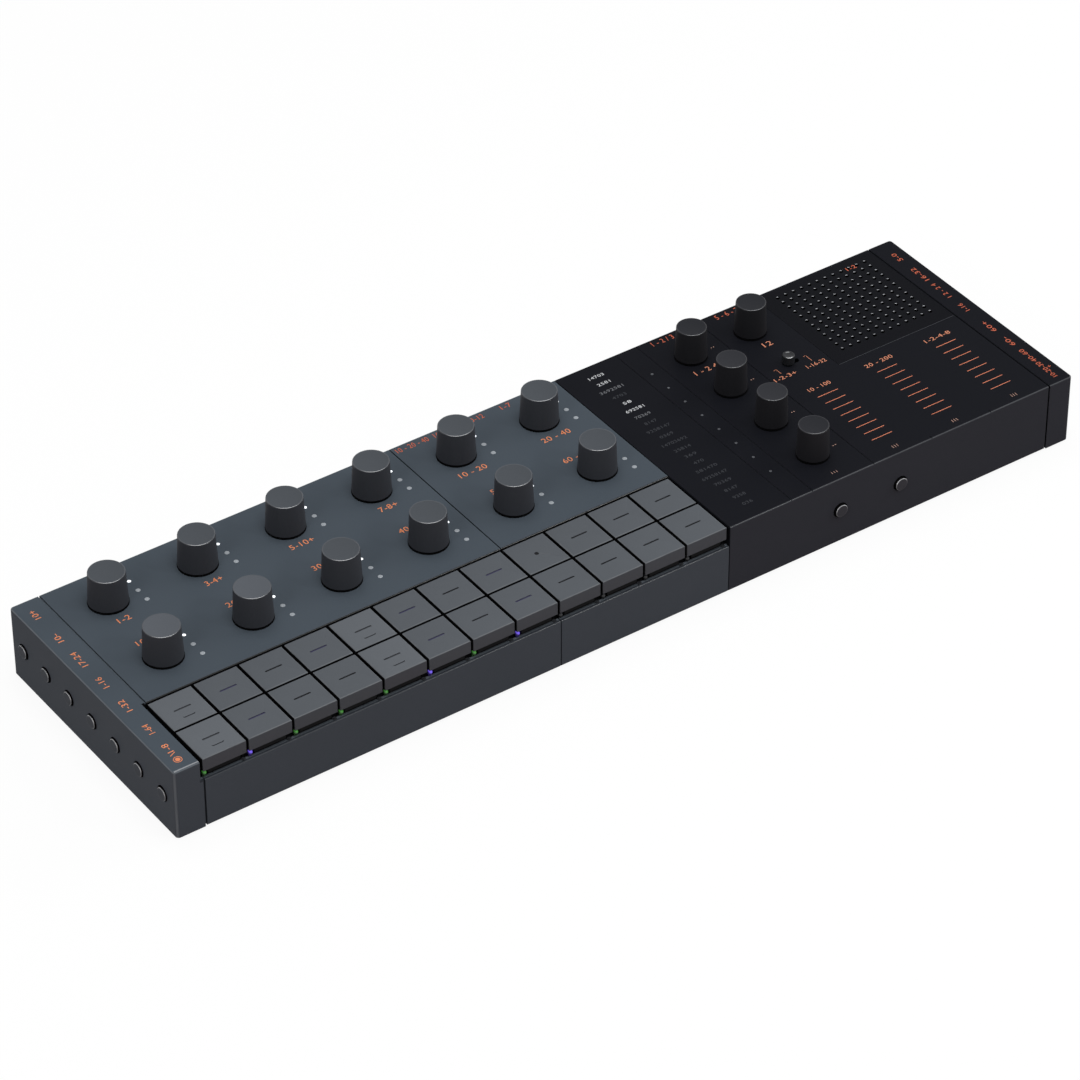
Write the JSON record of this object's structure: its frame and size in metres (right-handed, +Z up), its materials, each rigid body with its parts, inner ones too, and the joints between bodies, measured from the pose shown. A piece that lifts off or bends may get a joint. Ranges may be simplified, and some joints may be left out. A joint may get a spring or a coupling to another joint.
{
  "type": "drum machine",
  "caption": "Slim desktop drum machine: two rows of square keys, turning knobs, a slide switch, side buttons, a loudspeaker grille and sockets on one long case.",
  "frame": {"origin": "on the surface that the feet rest on, under the middle of the case", "axes": "+X to the player's right along the keys, +Y away from the player, +Z up"},
  "size_m": [0.343, 0.097, 0.038],
  "materials": {
    "grey_shell": "fine matte blue-grey",
    "black_shell": "fine matte black",
    "key_plastic": "smooth matte grey",
    "knob_plastic": "matte black with a grey crown",
    "button_plastic": "matte black",
    "switch_plastic": "glossy black",
    "base_plastic": "matte black",
    "foot_rubber": "matte black",
    "mat_rubber": "matte black",
    "screw_steel": "dark zinc",
    "battery_wrap": "silver wrap",
    "speaker_frame": "black",
    "socket_metal": "nickel",
    "board_laminate": "green solder mask"
  },
  "bodies": {
    "chassis": {"base_cover": "base_plastic", "drum_case": "grey_shell", "synth_case": "grey_shell", "sound_case": "black_shell", "speaker_grille": "black_shell", "left_end_cap": "grey_shell", "right_end_cap": "black_shell", "main_board": "board_laminate", "key_mat": "mat_rubber", "speaker": "speaker_frame", "battery": "battery_wrap", "connectors": "socket_metal", "feet": "foot_rubber", "screws": "screw_steel"},
    "back_key_1": {"back_key_1": "key_plastic"},
    "back_key_10": {"back_key_10": "key_plastic"},
    "back_key_11": {"back_key_11": "key_plastic"},
    "back_key_12": {"back_key_12": "key_plastic"},
    "back_key_2": {"back_key_2": "key_plastic"},
    "back_key_3": {"back_key_3": "key_plastic"},
    "back_key_4": {"back_key_4": "key_plastic"},
    "back_key_5": {"back_key_5": "key_plastic"},
    "back_key_6": {"back_key_6": "key_plastic"},
    "back_key_7": {"back_key_7": "key_plastic"},
    "back_key_8": {"back_key_8": "key_plastic"},
    "back_key_9": {"back_key_9": "key_plastic"},
    "back_track_knob_1": {"back_track_knob_1": "knob_plastic"},
    "back_track_knob_2": {"back_track_knob_2": "knob_plastic"},
    "back_track_knob_3": {"back_track_knob_3": "knob_plastic"},
    "back_track_knob_4": {"back_track_knob_4": "knob_plastic"},
    "back_track_knob_5": {"back_track_knob_5": "knob_plastic"},
    "back_track_knob_6": {"back_track_knob_6": "knob_plastic"},
    "effect_knob": {"effect_knob": "knob_plastic"},
    "front_buttons": {"front_buttons": "button_plastic"},
    "front_key_1": {"front_key_1": "key_plastic"},
    "front_key_10": {"front_key_10": "key_plastic"},
    "front_key_11": {"front_key_11": "key_plastic"},
    "front_key_12": {"front_key_12": "key_plastic"},
    "front_key_2": {"front_key_2": "key_plastic"},
    "front_key_3": {"front_key_3": "key_plastic"},
    "front_key_4": {"front_key_4": "key_plastic"},
    "front_key_5": {"front_key_5": "key_plastic"},
    "front_key_6": {"front_key_6": "key_plastic"},
    "front_key_7": {"front_key_7": "key_plastic"},
    "front_key_8": {"front_key_8": "key_plastic"},
    "front_key_9": {"front_key_9": "key_plastic"},
    "front_track_knob_1": {"front_track_knob_1": "knob_plastic"},
    "front_track_knob_2": {"front_track_knob_2": "knob_plastic"},
    "front_track_knob_3": {"front_track_knob_3": "knob_plastic"},
    "front_track_knob_4": {"front_track_knob_4": "knob_plastic"},
    "front_track_knob_5": {"front_track_knob_5": "knob_plastic"},
    "front_track_knob_6": {"front_track_knob_6": "knob_plastic"},
    "left_buttons": {"left_buttons": "button_plastic"},
    "mode_switch": {"mode_switch": "switch_plastic"},
    "rear_buttons": {"rear_buttons": "button_plastic"},
    "right_buttons": {"right_buttons": "button_plastic"},
    "sound_knob_1": {"sound_knob_1": "knob_plastic"},
    "sound_knob_2": {"sound_knob_2": "knob_plastic"},
    "sound_knob_3": {"sound_knob_3": "knob_plastic"},
    "sound_knob_4": {"sound_knob_4": "knob_plastic"}
  },
  "joints": [
    {"name": "back_key_1_press", "type": "slide", "parent": "chassis", "child": "back_key_1", "axis": [0, 0, -1], "range_m": [0, 0.0009], "stiffness_N_per_m": 300, "springref_m": -0.002},
    {"name": "back_key_10_press", "type": "slide", "parent": "chassis", "child": "back_key_10", "axis": [0, 0, -1], "range_m": [0, 0.0009], "stiffness_N_per_m": 300, "springref_m": -0.002},
    {"name": "back_key_11_press", "type": "slide", "parent": "chassis", "child": "back_key_11", "axis": [0, 0, -1], "range_m": [0, 0.0009], "stiffness_N_per_m": 300, "springref_m": -0.002},
    {"name": "back_key_12_press", "type": "slide", "parent": "chassis", "child": "back_key_12", "axis": [0, 0, -1], "range_m": [0, 0.0009], "stiffness_N_per_m": 300, "springref_m": -0.002},
    {"name": "back_key_2_press", "type": "slide", "parent": "chassis", "child": "back_key_2", "axis": [0, 0, -1], "range_m": [0, 0.0009], "stiffness_N_per_m": 300, "springref_m": -0.002},
    {"name": "back_key_3_press", "type": "slide", "parent": "chassis", "child": "back_key_3", "axis": [0, 0, -1], "range_m": [0, 0.0009], "stiffness_N_per_m": 300, "springref_m": -0.002},
    {"name": "back_key_4_press", "type": "slide", "parent": "chassis", "child": "back_key_4", "axis": [0, 0, -1], "range_m": [0, 0.0009], "stiffness_N_per_m": 300, "springref_m": -0.002},
    {"name": "back_key_5_press", "type": "slide", "parent": "chassis", "child": "back_key_5", "axis": [0, 0, -1], "range_m": [0, 0.0009], "stiffness_N_per_m": 300, "springref_m": -0.002},
    {"name": "back_key_6_press", "type": "slide", "parent": "chassis", "child": "back_key_6", "axis": [0, 0, -1], "range_m": [0, 0.0009], "stiffness_N_per_m": 300, "springref_m": -0.002},
    {"name": "back_key_7_press", "type": "slide", "parent": "chassis", "child": "back_key_7", "axis": [0, 0, -1], "range_m": [0, 0.0009], "stiffness_N_per_m": 300, "springref_m": -0.002},
    {"name": "back_key_8_press", "type": "slide", "parent": "chassis", "child": "back_key_8", "axis": [0, 0, -1], "range_m": [0, 0.0009], "stiffness_N_per_m": 300, "springref_m": -0.002},
    {"name": "back_key_9_press", "type": "slide", "parent": "chassis", "child": "back_key_9", "axis": [0, 0, -1], "range_m": [0, 0.0009], "stiffness_N_per_m": 300, "springref_m": -0.002},
    {"name": "back_track_knob_1_turn", "type": "hinge", "parent": "chassis", "child": "back_track_knob_1", "pos_m": [-0.14463, 0.0324, 0.026], "axis": [0, 0, -1], "continuous": true},
    {"name": "back_track_knob_2_turn", "type": "hinge", "parent": "chassis", "child": "back_track_knob_2", "pos_m": [-0.11249, 0.0324, 0.026], "axis": [0, 0, -1], "continuous": true},
    {"name": "back_track_knob_3_turn", "type": "hinge", "parent": "chassis", "child": "back_track_knob_3", "pos_m": [-0.08035, 0.0324, 0.026], "axis": [0, 0, -1], "continuous": true},
    {"name": "back_track_knob_4_turn", "type": "hinge", "parent": "chassis", "child": "back_track_knob_4", "pos_m": [-0.04821, 0.0324, 0.026], "axis": [0, 0, -1], "continuous": true},
    {"name": "back_track_knob_5_turn", "type": "hinge", "parent": "chassis", "child": "back_track_knob_5", "pos_m": [-0.01607, 0.0324, 0.026], "axis": [0, 0, -1], "continuous": true},
    {"name": "back_track_knob_6_turn", "type": "hinge", "parent": "chassis", "child": "back_track_knob_6", "pos_m": [0.01607, 0.0324, 0.026], "axis": [0, 0, -1], "continuous": true},
    {"name": "effect_knob_turn", "type": "hinge", "parent": "chassis", "child": "effect_knob", "pos_m": [0.10044, 0.0324, 0.026], "axis": [0, 0, -1], "continuous": true},
    {"name": "front_buttons_press", "type": "slide", "parent": "chassis", "child": "front_buttons", "axis": [0, 1, 0], "range_m": [0, 0.0005], "stiffness_N_per_m": 400, "springref_m": -0.001},
    {"name": "front_key_1_press", "type": "slide", "parent": "chassis", "child": "front_key_1", "axis": [0, 0, -1], "range_m": [0, 0.0009], "stiffness_N_per_m": 300, "springref_m": -0.002},
    {"name": "front_key_10_press", "type": "slide", "parent": "chassis", "child": "front_key_10", "axis": [0, 0, -1], "range_m": [0, 0.0009], "stiffness_N_per_m": 300, "springref_m": -0.002},
    {"name": "front_key_11_press", "type": "slide", "parent": "chassis", "child": "front_key_11", "axis": [0, 0, -1], "range_m": [0, 0.0009], "stiffness_N_per_m": 300, "springref_m": -0.002},
    {"name": "front_key_12_press", "type": "slide", "parent": "chassis", "child": "front_key_12", "axis": [0, 0, -1], "range_m": [0, 0.0009], "stiffness_N_per_m": 300, "springref_m": -0.002},
    {"name": "front_key_2_press", "type": "slide", "parent": "chassis", "child": "front_key_2", "axis": [0, 0, -1], "range_m": [0, 0.0009], "stiffness_N_per_m": 300, "springref_m": -0.002},
    {"name": "front_key_3_press", "type": "slide", "parent": "chassis", "child": "front_key_3", "axis": [0, 0, -1], "range_m": [0, 0.0009], "stiffness_N_per_m": 300, "springref_m": -0.002},
    {"name": "front_key_4_press", "type": "slide", "parent": "chassis", "child": "front_key_4", "axis": [0, 0, -1], "range_m": [0, 0.0009], "stiffness_N_per_m": 300, "springref_m": -0.002},
    {"name": "front_key_5_press", "type": "slide", "parent": "chassis", "child": "front_key_5", "axis": [0, 0, -1], "range_m": [0, 0.0009], "stiffness_N_per_m": 300, "springref_m": -0.002},
    {"name": "front_key_6_press", "type": "slide", "parent": "chassis", "child": "front_key_6", "axis": [0, 0, -1], "range_m": [0, 0.0009], "stiffness_N_per_m": 300, "springref_m": -0.002},
    {"name": "front_key_7_press", "type": "slide", "parent": "chassis", "child": "front_key_7", "axis": [0, 0, -1], "range_m": [0, 0.0009], "stiffness_N_per_m": 300, "springref_m": -0.002},
    {"name": "front_key_8_press", "type": "slide", "parent": "chassis", "child": "front_key_8", "axis": [0, 0, -1], "range_m": [0, 0.0009], "stiffness_N_per_m": 300, "springref_m": -0.002},
    {"name": "front_key_9_press", "type": "slide", "parent": "chassis", "child": "front_key_9", "axis": [0, 0, -1], "range_m": [0, 0.0009], "stiffness_N_per_m": 300, "springref_m": -0.002},
    {"name": "front_track_knob_1_turn", "type": "hinge", "parent": "chassis", "child": "front_track_knob_1", "pos_m": [-0.14463, 0.00054, 0.026], "axis": [0, 0, -1], "continuous": true},
    {"name": "front_track_knob_2_turn", "type": "hinge", "parent": "chassis", "child": "front_track_knob_2", "pos_m": [-0.11249, 0.00054, 0.026], "axis": [0, 0, -1], "continuous": true},
    {"name": "front_track_knob_3_turn", "type": "hinge", "parent": "chassis", "child": "front_track_knob_3", "pos_m": [-0.08035, 0.00054, 0.026], "axis": [0, 0, -1], "continuous": true},
    {"name": "front_track_knob_4_turn", "type": "hinge", "parent": "chassis", "child": "front_track_knob_4", "pos_m": [-0.04821, 0.00054, 0.026], "axis": [0, 0, -1], "continuous": true},
    {"name": "front_track_knob_5_turn", "type": "hinge", "parent": "chassis", "child": "front_track_knob_5", "pos_m": [-0.01607, 0.00054, 0.026], "axis": [0, 0, -1], "continuous": true},
    {"name": "front_track_knob_6_turn", "type": "hinge", "parent": "chassis", "child": "front_track_knob_6", "pos_m": [0.01607, 0.00054, 0.026], "axis": [0, 0, -1], "continuous": true},
    {"name": "left_buttons_press", "type": "slide", "parent": "chassis", "child": "left_buttons", "axis": [1, 0, 0], "range_m": [0, 0.0005], "stiffness_N_per_m": 400, "springref_m": -0.001},
    {"name": "mode_switch_slide", "type": "slide", "parent": "chassis", "child": "mode_switch", "axis": [1, 0, 0], "range_m": [0, 0.003]},
    {"name": "rear_buttons_press", "type": "slide", "parent": "chassis", "child": "rear_buttons", "axis": [0, -1, 0], "range_m": [0, 0.0005], "stiffness_N_per_m": 400, "springref_m": -0.001},
    {"name": "right_buttons_press", "type": "slide", "parent": "chassis", "child": "right_buttons", "axis": [-1, 0, 0], "range_m": [0, 0.0005], "stiffness_N_per_m": 400, "springref_m": -0.001},
    {"name": "sound_knob_1_turn", "type": "hinge", "parent": "chassis", "child": "sound_knob_1", "pos_m": [0.07633, 0.0324, 0.026], "axis": [0, 0, -1], "continuous": true},
    {"name": "sound_knob_2_turn", "type": "hinge", "parent": "chassis", "child": "sound_knob_2", "pos_m": [0.07633, 0.0108, 0.026], "axis": [0, 0, -1], "continuous": true},
    {"name": "sound_knob_3_turn", "type": "hinge", "parent": "chassis", "child": "sound_knob_3", "pos_m": [0.07633, -0.0108, 0.026], "axis": [0, 0, -1], "continuous": true},
    {"name": "sound_knob_4_turn", "type": "hinge", "parent": "chassis", "child": "sound_knob_4", "pos_m": [0.07633, -0.0324, 0.026], "axis": [0, 0, -1], "continuous": true}
  ]
}
